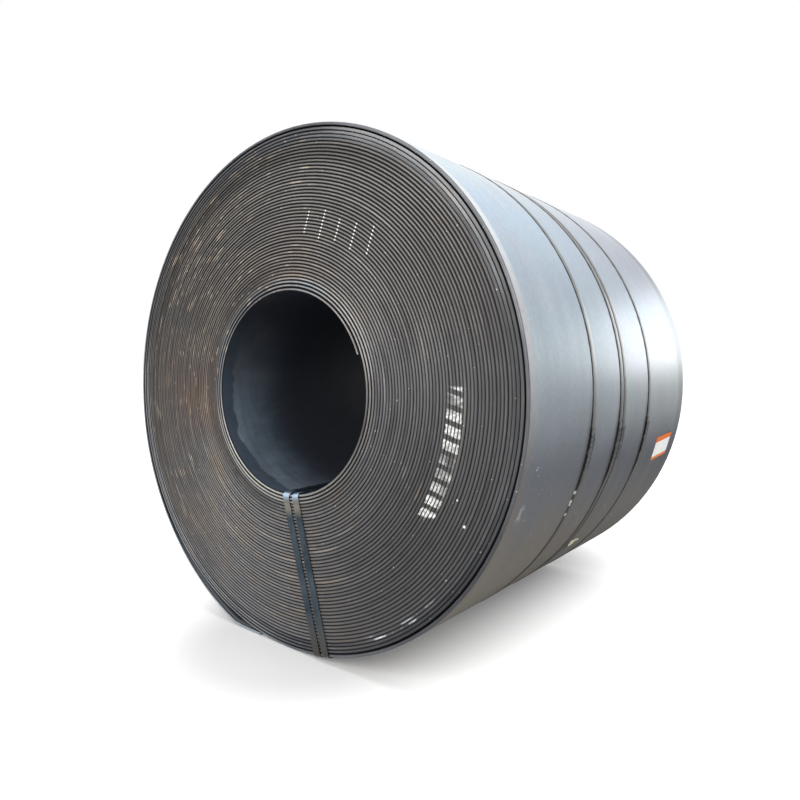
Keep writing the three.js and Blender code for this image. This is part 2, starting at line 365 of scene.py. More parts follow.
def crimp_cuts():
    """Where a seal is cut across, so that its notches can be pressed in."""
    return [notch + share * NOTCH_HALF for notch in NOTCHES for share in (-1, -0.5, 0, 0.5, 1)]


def press(piece, reach, middles):
    """Presses the crimps into a flat strap or seal, in its edges beyond some reach from its middle."""
    points = points_of(piece)
    for middle in middles:
        edges = np.abs(points[:, 1]) > reach
        points[edges, 1] -= np.sign(points[edges, 1]) * pinch(points[edges, 0] - middle)
    put_points(piece, points)


def strap_height(around):
    """How high a ring strap's underside lies, along it: under, once round, and over itself."""
    first, last = FIRST_SEALS + UNDER_END, LAST_SEALS - UNDER_END
    return np.interp(around, (first, first + RAMP, last - RAMP, last), (UNDER, LYING, LYING, UPPER))


def make_ring_strap():
    """A flat strap with room for its two ends to overlap, crimped where its seals grip it."""
    length = LAST_SEALS + UPPER_END - FIRST_SEALS + UNDER_END
    middle = FIRST_SEALS - UNDER_END + length / 2
    strap = box("strap", (length, STRAP_WIDTH, STRAP_THICK), (middle, 0, STRAP_THICK / 2))
    with editing(strap, "EDGE") as mesh:
        pick(mesh, mesh.edges, lambda at: abs(at.x - middle) < length / 4)
        bpy.ops.mesh.subdivide(number_cuts=STEPS)
    ends = (FIRST_SEALS, LAST_SEALS)
    seals = [end + side * SEAL_SPACING / 2 for end in ends for side in (-1, 1)]
    cut(strap, [seal + place for seal in seals for place in crimp_cuts()])
    with editing(strap, "EDGE") as mesh:
        for edge in mesh.edges:
            along = (edge.verts[0].co - edge.verts[1].co).normalized()
            edge.select_set(abs(along.x) > 0.9 and edge.calc_face_angle(0) > math.radians(60))
        bpy.ops.mesh.bevel(offset=STRAP_EDGE, segments=1)
    press(strap, STRAP_WIDTH / 2 - 2 * STRAP_EDGE, seals)
    note_flat(strap)
    return strap


def make_seal():
    """A sheet folded round a strap's two layers, with its mouth underneath, and crimped."""
    height = SEAL_TOP - GAP
    seal = box("seal", (SEAL_LENGTH, SEAL_WIDTH, height), (0, 0, GAP + height / 2))
    with editing(seal) as mesh:
        pick(mesh, mesh.faces, lambda at: abs(at.x) > SEAL_LENGTH / 4)
        bpy.ops.mesh.delete(type="FACE")
    with editing(seal, "EDGE") as mesh:
        pick(mesh, mesh.edges, lambda at: abs(at.x) < SEAL_LENGTH / 4)
        bpy.ops.mesh.bevel(offset=SEAL_BEND, segments=2)
    cut(seal, (-SEAL_MOUTH / 2, SEAL_MOUTH / 2), axis=1)
    with editing(seal) as mesh:
        pick(mesh, mesh.faces, lambda at: abs(at.y) < SEAL_MOUTH / 4 and at.z < GAP * 2)
        bpy.ops.mesh.delete(type="FACE")
    cut(seal, crimp_cuts())
    press(seal, SEAL_WIDTH / 2 - 1.1 * SEAL_BEND, (0,))
    shape(seal, "SOLIDIFY", thickness=SEAL_SHEET, offset=-1)
    note_flat(seal)
    return seal


def make_eye_strap(name):
    """The CAD strap with rounder bends."""
    strap = copy_of(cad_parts[name], name + "_bent")
    with editing(strap, "VERT", every=True):
        bpy.ops.mesh.remove_doubles(threshold=1e-5)
        bpy.ops.mesh.dissolve_limited(angle_limit=math.radians(1))
    with editing(strap, "EDGE") as mesh:
        for edge in mesh.edges:
            edge.select_set(math.radians(5) < edge.calc_face_angle(0) < math.radians(40))
        bpy.ops.mesh.bevel(offset=EYE_EASE, segments=2)
    smooth(strap, 40)
    return strap


def make_sheet(name, length, width):
    """A flat sheet of paper, cut small enough to bend."""
    sheet = box(name, (length, width, PAPER_THICK))
    with editing(sheet, "EDGE", every=True):
        bpy.ops.mesh.subdivide(number_cuts=PAPER_CUTS)
    return sheet


def make_label(name):
    """The paper label, a little crooked, with one corner coming off."""
    lowest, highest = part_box("label")
    size = ((LABEL_TOP - LABEL_BOTTOM) * REACH, highest.y - lowest.y)
    middle = (LABEL_TOP + LABEL_BOTTOM) / 2 * REACH
    label = make_sheet(name, *size)
    points = points_of(label)
    peel = np.clip(points[:, 0] / size[0] + points[:, 1] / size[1] - PEEL_FROM, 0, None)
    ripple = PAPER_THICK * np.sin(90 * points[:, 0]) * np.sin(60 * points[:, 1])
    points[:, 2] += PEEL_LIFT * peel**2 + ripple
    put_points(label, points)
    note_flat(label)
    turn = Matrix.Rotation(LABEL_TURN, 3, "Z")
    points = points @ np.array(turn).T + (middle, (lowest.y + highest.y) / 2, 2 * GAP)
    put_points(label, points)
    wind(label, outer_radius)
    smooth(label, 40)
    return label


def make_scrap(name):
    """A torn scrap of paper, stuck by its middle and curling at its edges."""
    scrap = make_sheet(name, SCRAP_SIZE, SCRAP_SIZE)
    points = points_of(scrap)
    way = np.arctan2(points[:, 1], points[:, 0])
    torn = 1 + sum(share * np.sin(number * way + start) for number, start, share in SCRAP_TEARS)
    points[:, :2] *= torn[:, None] * SCRAP_SHARES
    reach = np.hypot(points[:, 0], points[:, 1]) / SCRAP_SIZE
    points[:, 2] += GAP + SCRAP_CURL * reach**2 * (1 + np.sin(2 * way))
    put_points(scrap, points + (SCRAP_ANGLE * REACH, SCRAP_Y, 0))
    wind(scrap, outer_radius)
    smooth(scrap, 40)
    return scrap


# ------------------------ finishes
def tone(red, green, blue):
    """A colour as it is seen, from 0 to 255, as the shaders take it."""
    seen = (red / 255, green / 255, blue / 255)
    linear = [part / 12.92 if part <= 0.04045 else ((part + 0.055) / 1.055) ** 2.4 for part in seen]
    return (*linear, 1)


DAB_WHITE = tone(232, 230, 222)


def adds_node(operation, swapped=False):
    """An operator of the class below, which adds a Math node."""

    def act(value, *other):
        values = (*other, value) if swapped else (value, *other)
        return value.nodes.math(operation, *values)

    return act


class Value:
    """A number, vector or colour that varies over a surface."""

    def __init__(self, nodes, socket):
        self.nodes = nodes
        self.socket = socket

    __add__ = __radd__ = adds_node("ADD")
    __sub__ = adds_node("SUBTRACT")
    __rsub__ = adds_node("SUBTRACT", swapped=True)
    __mul__ = __rmul__ = adds_node("MULTIPLY")
    __truediv__ = adds_node("DIVIDE")
    __pow__ = adds_node("POWER")
    __abs__ = adds_node("ABSOLUTE")

    def rise(self, start, end):
        """From 0 to 1 as the value goes from one number to another, smoothly."""
        settings = {"interpolation_type": "SMOOTHSTEP"}
        ends = {"Value": self, "From Min": min(start, end), "From Max": max(start, end)}
        up = self.nodes.out(self.nodes.node("MapRange", settings, ends))
        return up if start < end else 1 - up

    def near(self, middle, reach):
        """One at a number, falling to 0 within some reach of it."""
        return abs(self - middle).rise(reach, 0)

    def mix(self, under, over):
        """One colour laid over another, as far as the value says."""
        node = self.nodes.node("Mix", {"data_type": "RGBA"}, {0: self, 6: under, 7: over})
        return self.nodes.out(node, 2)

    def scaled(self, share):
        """A colour made lighter or darker."""
        inputs = {"Vector": self, "Scale": share}
        return self.nodes.out(self.nodes.node("VectorMath", {"operation": "SCALE"}, inputs), "Vector")


class Nodes:
    """A tree of shader nodes, and what is made in it."""

    def __init__(self, tree):
        self.tree = tree

    def node(self, kind, settings=(), inputs=()):
        """A node, with its settings and then the values or links of its sockets."""
        node = self.tree.nodes.new("ShaderNode" + kind)
        for key, value in dict(settings).items():
            setattr(node, key, value)
        for key, value in dict(inputs).items():
            self.feed(node.inputs[key], value)
        return node

    def feed(self, socket, value):
        if isinstance(value, Value):
            self.tree.links.new(value.socket, socket)
        else:
            socket.default_value = value

    def out(self, node, key=0):
        return Value(self, node.outputs[key])

    def math(self, operation, *values):
        return self.out(self.node("Math", {"operation": operation}, enumerate(values)))

    def vector(self, operation, *values):
        node = self.node("VectorMath", {"operation": operation}, enumerate(values))
        return self.out(node, "Value" if operation in ("LENGTH", "DISTANCE") else "Vector")

    def split(self, vector):
        node = self.node("SeparateXYZ", inputs={0: vector})
        return [self.out(node, way) for way in range(3)]

    def join(self, x, y, z):
        return self.out(self.node("CombineXYZ", inputs={0: x, 1: y, 2: z}))

    def noise(self, vector, scale, detail=3, roughness=0.55):
        """Noise about 0.5. A scale may differ along X, Y and Z."""
        scales = scale if isinstance(scale, tuple) else (scale,) * 3
        scaled = self.vector("MULTIPLY", vector, scales)
        inputs = {"Vector": scaled, "Scale": 1, "Detail": detail, "Roughness": roughness}
        return self.out(self.node("TexNoise", inputs=inputs))

    def seen(self, *rays):
        """One for rays of any of some kinds, and 0 for the rest."""
        path = self.node("LightPath")
        total = self.out(path, rays[0])
        for ray in rays[1:]:
            total = self.math("MAXIMUM", total, self.out(path, ray))
        return total


class Finish(Nodes):
    """A material, and its places on the piece."""

    def __init__(self, name):
        self.material = bpy.data.materials.new(name)
        self.material.use_nodes = True
        super().__init__(self.material.node_tree)
        self.place = self.out(self.node("TexCoord"), "Object")

    def cloud(self, scale, detail=3):
        """Noise over the piece's places."""
        return self.noise(self.place, scale, detail)

    def flat(self):
        """Where the surface was before it was bent: along the strip, across it and through it."""
        return self.out(self.node("Attribute", {"attribute_name": "flat"}), "Vector")

    def bump(self, height, depth, strength=1):
        inputs = {"Height": height, "Distance": depth, "Strength": strength}
        return self.out(self.node("Bump", inputs=inputs))

    def set(self, **sockets):
        """Feeds the surface's own sockets."""
        surface = self.tree.nodes["Principled BSDF"]
        for key, value in sockets.items():
            name = key.replace("_", " ").title().replace("Ior", "IOR")
            self.feed(surface.inputs[name], value)
        return self.material


class RollFinish(Finish):
    """A finish that varies with the place on the roll, in shares of its outer radius."""

    def __init__(self, name):
        super().__init__(name)
        x, self.y, z = self.split(self.place)
        self.right = (x - AXIS_X) / OUTER_RADIUS
        self.up = (z - AXIS_Z) / OUTER_RADIUS
        self.radius = (self.right * self.right + self.up * self.up) ** 0.5

    def underside_shade(self):
        """One on the underside of the roll, which has only the ground to reflect. There the steel and the
        ring straps are painted darker, as painted reflection of the ground.
        """
        height = self.up + (self.cloud(2.2) - 0.5) * 0.12 + (self.y - FRONT) * 0.06
        return height.rise(0.16, -0.24)

    def lobes(self):
        """One where the turns catch the light, at the upper right and lower left, and -1 between."""
        cos_part = (self.right * self.right - self.up * self.up) * math.cos(2 * LIT_WAY)
        sin_part = self.right * self.up * 2 * math.sin(2 * LIT_WAY)
        return (cos_part + sin_part) / (self.radius * self.radius)

    def away(self, right, up):
        """How far off a place on the roll's ends is."""
        return self.vector("LENGTH", self.join(self.right - right, self.up - up, 0))

    def dabs(self):
        """White paint, dabbed along the near edge of the foremost strap."""
        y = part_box("strap_front")[0].y
        return sum(self.spot(degrees, y + beyond, reach) for degrees, beyond, reach in DABS)

    def spot(self, degrees, y, reach):
        """A ragged spot on the outside of the roll."""
        angle = math.radians(degrees)
        middle = (AXIS_X + OUTER_RADIUS * math.cos(angle), y, AXIS_Z + OUTER_RADIUS * math.sin(angle))
        away = self.vector("DISTANCE", self.place, middle)
        return (away + (self.cloud(40) - 0.5) * reach).rise(reach, reach * 0.3)


class Steel(RollFinish):
    """The strip: mill scale on its broad faces, and rolled edges that have begun to rust."""

    def __init__(self):
        super().__init__("hot_rolled_steel")
        self.steel = self.flat()
        self.along, self.across, self.depth = self.split(self.steel)
        self.turns = (self.along / REACH - TURN_ZERO) / (2 * math.pi)
        self.off_crest = abs(self.depth - THICK / 2)

        # One on some turns, or on a part of each, and 0 elsewhere.
        self.inner = self.turns.rise(*INNER_TURNS)
        self.outer = self.turns.rise(*OUTER_TURNS)
        self.last = self.turns.rise(TAIL_TIP - 1.02, TAIL_TIP - 0.98)
        self.keen = self.outer * (1 - self.last)
        self.outside = self.last * self.depth.rise(THICK * 0.4, THICK * 0.6)
        self.line = self.math("MAXIMUM", self.off_crest.rise(0.0056, 0.0016), self.outside)

        # One in some part of the roll's ends, and 0 elsewhere.
        self.broad = self.outer * self.right.rise(0.1, 0.45) * (0.3 + self.up.rise(-0.6, -0.2) * 0.7)
        self.upright = (abs(self.up) / self.radius).rise(0.25, 0.8)
        self.beneath = (self.up / self.radius).rise(-0.3, -0.8)
        self.low_left = (self.right * 0.5 + self.up).rise(-0.1, -0.6) * self.right.rise(0.1, -0.2)

        self.blotch = self.cloud(3.1, 4)
        self.tint = self.turn_noise(1.1)
        self.warm = (self.blotch + (self.tint - 0.5) * 0.6 - self.right * 0.2).rise(0.46, 0.76)
        self.rusty = self.patch(0.02, 0.5, 0.3) * 0.5 + self.patch(-0.56, -0.02, 0.34)

    def patch(self, right, up, reach):
        """A soft patch of the roll's ends."""
        ragged = (self.cloud(4.3) - 0.5) * reach
        return (self.away(right, up) + ragged).rise(reach, 0)

    def turn_noise(self, per_metre, detail=2):
        """Noise that differs from turn to turn."""
        return self.noise(self.join(self.along, 0, 0), (per_metre, 1, 1), detail)

    # The rolled edges, which are what shows of the strip on the roll's ends.
    def face(self):
        """A crest of bare metal on each turn, painted shade in the grooves, and painted light and shade
        over the ends.
        """
        line = self.crest_line()
        colour = line.mix(self.groove_shade(), self.crest_tone())
        colour = self.smeared_and_shaded(self.weathered(colour, line))
        return self.knocked(colour.scaled(self.light()), line)

    def crest_line(self):
        """One on the crests: slim on the upper turns, and broad at the right of the outer ones."""
        slim = self.up.rise(-0.1, 0.4) * (1 - self.outer)
        line = self.line ** (1 + self.inner) * (1 - slim - self.keen)
        line = line + self.off_crest.rise(0.0052, 0.0002) ** 1.6 * slim
        line = line + self.off_crest.rise(0.0054, 0.0006) ** 1.2 * self.keen
        whole = self.math("MAXIMUM", self.off_crest.rise(0.0058, 0.0036), self.outside)
        return line * (1 - self.broad) + whole * self.broad

    def crest_tone(self):
        """Metal that is browner where it rusts and barer by the bore and at the rim, with painted
        highlights on the upper turns, on the upper outer turns and on the tail's crest.
        """
        crest = self.warm.mix(tone(128, 128, 130), tone(134, 124, 114))
        crest = (self.rusty * 0.5).mix(crest, tone(132, 104, 87))
        # Painted highlight: the crests are lighter on the upper turns.
        crest = (self.up.rise(0, 0.4) * 0.22).mix(crest, tone(222, 212, 200))

        rim = self.broad.mix(tone(88, 92, 101), tone(116, 118, 122))
        # Painted highlight on the upper part of the outer turns at the right.
        rim_highlight = self.broad * self.turns.rise(*HIGHLIT_TURNS) * self.up.rise(0.05, 0.35)
        rim = rim_highlight.mix(rim, tone(146, 148, 150))
        rim = self.low_left.mix(rim, tone(134, 137, 141))
        crest = (self.outer * 0.8).mix(crest, rim)
        crest = (self.last * 0.6).mix(crest, tone(122, 125, 131))

        cool = (self.up - self.right).rise(0.05, 0.3)
        by_bore = cool.mix(tone(156, 153, 149), tone(152, 160, 168))
        lowest = self.math("MAXIMUM", self.low_left, self.beneath)
        by_bore = lowest.mix(by_bore, tone(204, 204, 199))
        crest = (self.inner * 0.8).mix(crest, by_bore)

        # Painted highlight on the crest of the sprung tail, bluish.
        sprung = self.turns.rise(TAIL_ROOT + 0.05, TAIL_ROOT + 0.12)
        return sprung.mix(crest, tone(160, 171, 179))

    def groove_shade(self):
        """Painted shade in the grooves: dark, and lighter where the turns lie tight against each other."""
        groove = self.warm.mix(tone(9, 9, 11), tone(22, 16, 13))
        tight = self.turn_noise(0.7, 3).rise(0.4, 0.62) * (1 - self.outer) * (1 - self.inner)
        tight = tight * (1 - self.upright * 0.8)
        return (tight * 0.6).mix(groove, tone(70, 67, 65))

    def weathered(self, colour, line):
        """Dull and bright stretches of turns, streaks along them, and the shade at the lower right."""
        dull = (self.tint + (self.blotch - 0.5) * 0.5).rise(0.56, 0.3)
        dull = dull * (1 - self.upright * 0.5)
        colour = (dull * 0.5).mix(colour, tone(40, 37, 36))
        bright = self.tint.rise(0.56, 0.7) * line
        colour = (bright * 0.5).mix(colour, tone(196, 190, 180))
        colour = colour.scaled(0.7 + self.turn_noise(5, 4) * 0.6)
        colour = colour.scaled(0.55 + self.noise(self.steel, (16, 1, 430), 3) * 0.9)
        bands = self.turn_noise(0.5).rise(0.38, 0.62) - 0.5
        shaded = self.right.rise(0.3, 0.7) * self.up.rise(0.3, -0.25)
        shade = 1 - shaded * (0.14 + self.last * 0.12)
        return colour.scaled(shade + bands * self.keen * 0.5)

    def smeared_and_shaded(self, colour):
        """Dirt, smeared over the turns on the left and by the bore, and painted shade over the right and
        in a patch at the upper right.
        """
        smear = (self.right + (self.blotch - 0.5) * 0.5).rise(-0.3, -0.72)
        smear = smear * (1 - self.outer) * 0.8 * self.up.rise(0.66, 0.3)
        smear = smear + self.radius.near(0.452, 0.06) * self.right.rise(0.1, -0.25)
        mottled = self.cloud(9).mix(tone(50, 49, 49), tone(88, 85, 83))
        mottled = (self.rusty * 0.4).mix(mottled, tone(92, 74, 64))
        colour = (smear * 0.8).mix(colour, mottled)
        # Painted shade: darker towards the right, and in a soft patch at the upper right.
        right_shade = (self.right - self.up * 0.5).rise(0.3, 0.9) * (1 - self.last)
        colour = (right_shade * (1 - self.outer * 0.5) * 0.45).mix(colour, tone(72, 71, 72))
        shade_patch = self.patch(0.68, 0.42, 0.4) * (1 - self.outer)
        return (shade_patch * 0.3).mix(colour, tone(38, 36, 36))

    def light(self):
        """Painted light and shade on the roll's ends: darker to the upper right, lighter above the bore
        and darker below it, darker at the upper left rim, and painted highlights where the turns' edges
        catch the light.
        """
        tilt = (self.right + self.up) * -0.12
        by_bore = self.radius.near(0.43, 0.04)
        tilt = tilt + by_bore * (self.up.rise(0, 0.2) - self.beneath * 0.3) * 0.4
        upper_left = self.radius.near(0.9, 0.06) * (self.up - self.right).rise(0, 0.6)
        return 0.81 + (tilt - upper_left * 0.28) + self.lobes() * (0.2 + self.inner * 0.2)

    def knocked(self, colour, line):
        """Bare metal where the edges were knocked: dashes, nicks, chips and a scraped stretch."""
        thin = self.off_crest.rise(0.0034, 0.0014)
        struck = (self.cloud(3.7, 2) - self.right * 0.08).rise(0.46, 0.66) * 0.7
        struck = struck + self.patch(-0.55, 0.5, 0.5) * 0.8 + self.patch(-0.42, -0.5, 0.4) * 0.6
        dashes = self.turn_noise(5.5, 3).rise(0.53, 0.64) * struck * thin
        colour = (dashes * 0.55).mix(colour, tone(182, 162, 142))
        nicks = self.turn_noise(7).rise(0.54, 0.66)
        nicks = nicks * (self.up * 0.7 - self.right).rise(0.05, 0.5)
        nicks = nicks * self.cloud(4.6, 3).rise(0.44, 0.58) * (1 - self.outer)
        colour = (nicks * thin * 0.62).mix(colour, tone(206, 188, 168))
        chips = self.cloud(75, 2).rise(0.71, 0.76) * line
        colour = (chips * 0.8).mix(colour, tone(215, 210, 202))
        scraped = self.away(0.56, -0.76).rise(0.2, 0.1) * self.radius.near(0.946, 0.016)
        scraped = scraped * self.turn_noise(8, 3).rise(0.5, 0.58) * thin
        return scraped.mix(colour, tone(230, 236, 240))

    # White paint on the front end.
    def paint(self):
        """A row of worn bars, a row of slanting strokes and two drops."""
        drops = self.away(0.79, -0.389).rise(0.0055, 0.004)
        drops = drops + self.away(0.765, -0.31).rise(0.004, 0.002)
        return self.bars() + self.strokes() + drops

    def bars(self):
        """Plain bars in an arc down the right, worn off in places."""
        worn = self.cloud((9, 1, 9), 2).rise(0.3, 0.6)
        worn = worn * (0.45 + self.cloud(120, 2).rise(0.42, 0.52) * 0.55)
        ragged = (self.cloud(90, 3) - 0.5) * 0.02
        arc = (abs(self.radius - BARS_RADIUS) + ragged).rise(BAR_HALF, BAR_HALF - 0.006)
        arc = arc * abs(self.up + BARS_DROP).rise(BARS_HALF_ROW + 0.005, BARS_HALF_ROW - 0.005)
        along_row = self.up + self.right * BARS_SLANT
        off_gap = self.math("PINGPONG", along_row, BARS_SPACING / 2) + ragged * 0.4
        arc = arc * off_gap.rise(BAR_GAP, BAR_GAP + 0.003)
        return arc * self.right.rise(0, 0.1) * worn * self.line.rise(0.1, 0.4)

    def strokes(self):
        """Plain strokes above the bore, dotted by the grooves that they cross."""
        cos, sin = math.cos(STROKES_LEAN), math.sin(STROKES_LEAN)
        over = self.up * cos + self.right * sin - STROKES_HEIGHT
        over = over + (self.cloud(9) - 0.5) * 0.09
        beside = self.right * cos - self.up * sin - 0.05
        row = abs(over).rise(STROKE_HALF, STROKE_HALF * 0.9)
        row = row * abs(beside).rise(STROKES_SPACING * 2.45, STROKES_SPACING * 2.4)
        stroke = self.math("PINGPONG", beside, STROKES_SPACING / 2).rise(0.0038, 0.0022)
        return row * stroke * self.off_crest.rise(0.0034, 0.0016)

    # The broad faces.
    def flank(self, underside_shade, sheen):
        """The face outside: mill scale with a paler band along its front edge, painted reflections of the
        sky above and the ground below, marks, and painted shadows by the straps.
        """
        # Painted reflection: the flank's tones differ from the front end to the rear.
        far = self.y.rise(FRONT + 0.1, FRONT + 1.6)
        band = (self.across + (0.5 - sheen) * 0.02).rise(FRONT + 0.056, FRONT + 0.026)
        colour = underside_shade.mix(self.sky_reflection(far, band, sheen), self.ground_reflection(far, band, sheen))
        grain = self.noise(self.steel, (44, 62, 1), 4, 0.8)
        colour = colour.scaled(0.78 + grain * 0.44)
        return self.dabs().mix(self.strap_shadows(self.marked(colour)), DAB_WHITE)

    def sky_reflection(self, far, band, sheen):
        """Bluish mill scale, where the roll has the sky to reflect, with the sky's reflection painted in:
        paler towards the crown, differing from front to rear, and darker by the rear edge.
        """
        high = self.up.rise(0.25, 0.66)
        crown = far.mix(tone(232, 242, 247), tone(218, 222, 230))
        sky = far.mix(tone(201, 220, 236), tone(168, 174, 188))
        sky = self.up.rise(0.6, 0.86).mix(sky, crown)
        lit = far.mix(tone(170, 181, 188), tone(184, 190, 192))
        plain = self.up.rise(0.1, 0.34).mix(lit, tone(163, 176, 188))
        colour = high.mix(plain, sky)
        clouds = self.cloud(2.2).rise(0.48, 0.7)
        colour = (clouds * 0.4).mix(colour, tone(188, 190, 202))
        blots = self.cloud(8, 4).rise(0.48, 0.66) * high
        colour = (blots * 0.3).mix(colour, tone(206, 204, 210))
        colour = (sheen.rise(0.4, 0.75) * 0.35).mix(colour, tone(196, 208, 216))
        lines = self.noise(self.steel, (0.9, 130, 1)).rise(0.52, 0.78)
        colour = (lines * 0.2).mix(colour, tone(136, 142, 152))
        # The pale band along the front edge is the scale's own, painted lighter higher up as painted
        # reflection.
        pale = self.up.rise(0.2, 0.6).mix(tone(188, 188, 190), tone(240, 244, 246))
        colour = (band * 0.9).mix(colour, pale)
        # Painted shade along the rear edge, darkening the painted reflection there.
        rear = self.across.rise(REAR - 0.11, REAR - 0.06)
        return (rear * 0.45).mix(colour, tone(118, 122, 132))

    def ground_reflection(self, far, band, sheen):
        """The same low down, with the ground's reflection painted in: darker, and olive nearest to the
        ground.
        """
        bluish = far.mix(tone(99, 103, 110), tone(68, 73, 82))
        olive = far.mix(tone(116, 111, 103), tone(93, 90, 86))
        lowest = (self.up + (sheen - 0.5) * 0.3).rise(-0.22, -0.6)
        return (band * 0.6).mix(lowest.mix(bluish, olive), tone(112, 105, 98))

    def marked(self, colour):
        """Pale specks, most of them low down by the front edge, dark scratches and a scuff."""
        spattered = self.up.near(-0.24, 0.26) * self.y.rise(FRONT + 0.55, FRONT + 0.1)
        spattered = spattered * self.right.rise(0.6, 0.8)
        specks = (self.cloud(48, 2) + spattered * 0.055).rise(0.75, 0.79)
        colour = (specks * 0.5).mix(colour, tone(214, 214, 212))
        scratches = self.noise(self.steel, (40, 160, 1), 2).rise(0.78, 0.82)
        colour = (scratches * 0.5).mix(colour, tone(98, 98, 102))
        scuff = self.spot(-19.2, FRONT + 0.074, 0.022) + self.spot(-20.8, FRONT + 0.07, 0.026)
        scuff = scuff * self.cloud((90, 40, 30)).rise(0.3, 0.6)
        return (scuff * 0.4).mix(colour, tone(190, 190, 190))

    def strap_shadows(self, colour):
        """Painted shadow along the near edge of each strap round the roll, wider by its seals, and painted
        shadow of the seals beyond their far edges.
        """
        at_right = self.right.rise(0.5, 0.8)
        by_seals = self.up.near(-0.2, 0.3) * at_right
        behind = self.up.near(-0.192, 0.085) ** 0.5 * at_right
        wave = self.math("COSINE", self.up * (2 * math.pi * OUTER_RADIUS / NOTCH_SPACING))
        ragged = wave * 0.0025 + (self.cloud(60) - 0.5) * 0.02
        boxes = [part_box("strap_" + ring) for ring in RINGS]
        # soft is a painted shadow wedge by the seals, and line is a painted contact shadow along each
        # strap's near edge.
        soft = sum(self.y.near(lowest.y, 0.045) for lowest, _ in boxes)
        line = sum(self.y.near(lowest.y - 0.001, 0.006) for lowest, _ in boxes)
        # Painted shadow of the crimped seals, ragged, beyond the straps' far edges.
        seal_shadows = sum((self.y + ragged).near(highest.y + 0.009, 0.019) for _, highest in boxes)
        colour = (soft * by_seals * 0.6).mix(colour, tone(50, 45, 44))
        line = line * (0.85 - self.up.rise(0.3, 0.9) * 0.5)
        colour = line.mix(colour, tone(44, 36, 33))
        seal_shadows = self.math("MINIMUM", seal_shadows * behind * 2.5, 0.85)
        return seal_shadows.mix(colour, tone(16, 17, 19))

    def bore(self):
        """The face inside: dark, with a paler patch that light from the end falls on."""
        facing = (self.up * -1.2 - self.right * 1.5).rise(-0.1, 0.75)
        deep = self.y - FRONT + (self.cloud((7, 2, 7), 4) - 0.5) * 0.12
        streaks = self.noise(self.steel, (1.6, 36, 1)) * 0.35 + self.cloud((7, 9, 4), 4) * 0.65
        worn = 0.7 + self.cloud((30, 12, 20)) * 0.6
        rim = deep.rise(0.45, 0.08)
        dark = (facing * rim).mix(tone(25, 29, 38), tone(56, 67, 79))
        stained = self.cloud(6, 4).rise(0.5, 0.7) * rim
        dark = (stained * 0.4).mix(dark, tone(58, 54, 54))
        lower = (self.up + (streaks - 0.5) * 0.3).rise(0.2, -0.12)
        pale = lower.mix(tone(76, 74, 76), tone(104, 118, 129))
        patch = deep.rise(0.052, 0.062) * deep.rise(0.36, 0.04) * facing
        patch = patch * (0.3 + streaks.rise(0.3, 0.7) * 0.6)
        return patch.mix(dark, pale).scaled(worn)

    def hollow_shade(self):
        """The inner side of the sprung tail: painted black shade inside, and its own paler tone where it
        shows at the front.
        """
        at_front = self.y.rise(FRONT + 0.032, FRONT + 0.008) * self.turns.rise(*TAIL_SHOWS)
        return at_front.mix(tone(8, 8, 10), tone(124, 127, 134))

    def finish(self):
        underside_shade = self.underside_shade()
        sheen = self.noise(self.steel, (1.3, 9, 1), 4)
        grit = self.noise(self.steel, (45, 600, 500), 2)
        half = (REAR - FRONT) / 2 - WANDER
        edge = abs(self.across - MIDDLE).rise(half - 0.006, half - 0.0035)
        inside = self.radius.rise(0.47, 0.44)
        inner_side = self.depth.rise(THICK * 0.7, THICK * 0.3)
        # Painted shade: the covered inner sides of the turns, and the outer side of the turn beneath the
        # tail, are painted near black.
        covered = self.turns.rise(1.02, 1.04) * self.turns.rise(TAIL_ROOT + 0.12, TAIL_ROOT)
        gap_shade = inner_side * covered
        gap_shade = gap_shade + (1 - inner_side) * self.turns.rise(TAIL_TIP - 1, TAIL_TIP - 1.02)

        colour = inside.mix(self.flank(underside_shade, sheen), self.bore())
        colour = gap_shade.mix(colour, tone(12, 12, 13))
        sprung = inner_side * self.turns.rise(TAIL_ROOT, TAIL_ROOT + 0.12)
        colour = sprung.mix(colour, self.hollow_shade())
        colour = edge.mix(colour, self.face())
        paint = self.paint() * edge * self.y.rise(0, -0.1)
        colour = paint.mix(colour, tone(238, 238, 234))

        dull = self.math("MAXIMUM", inside, gap_shade)
        rough = 0.4 + (underside_shade + dull) * 0.22 + (sheen - 0.5) * 0.12 + edge * 0.15
        metallic = (0.9 - underside_shade * 0.72) * (1 - dull * 0.9) * (1 - edge * 0.5) * (1 - paint)
        bumps = self.bump(grit * edge, 0.0006, 0.5)
        return self.set(
            base_color=colour, roughness=rough, metallic=metallic, normal=bumps, specular_ior_level=0.3
        )


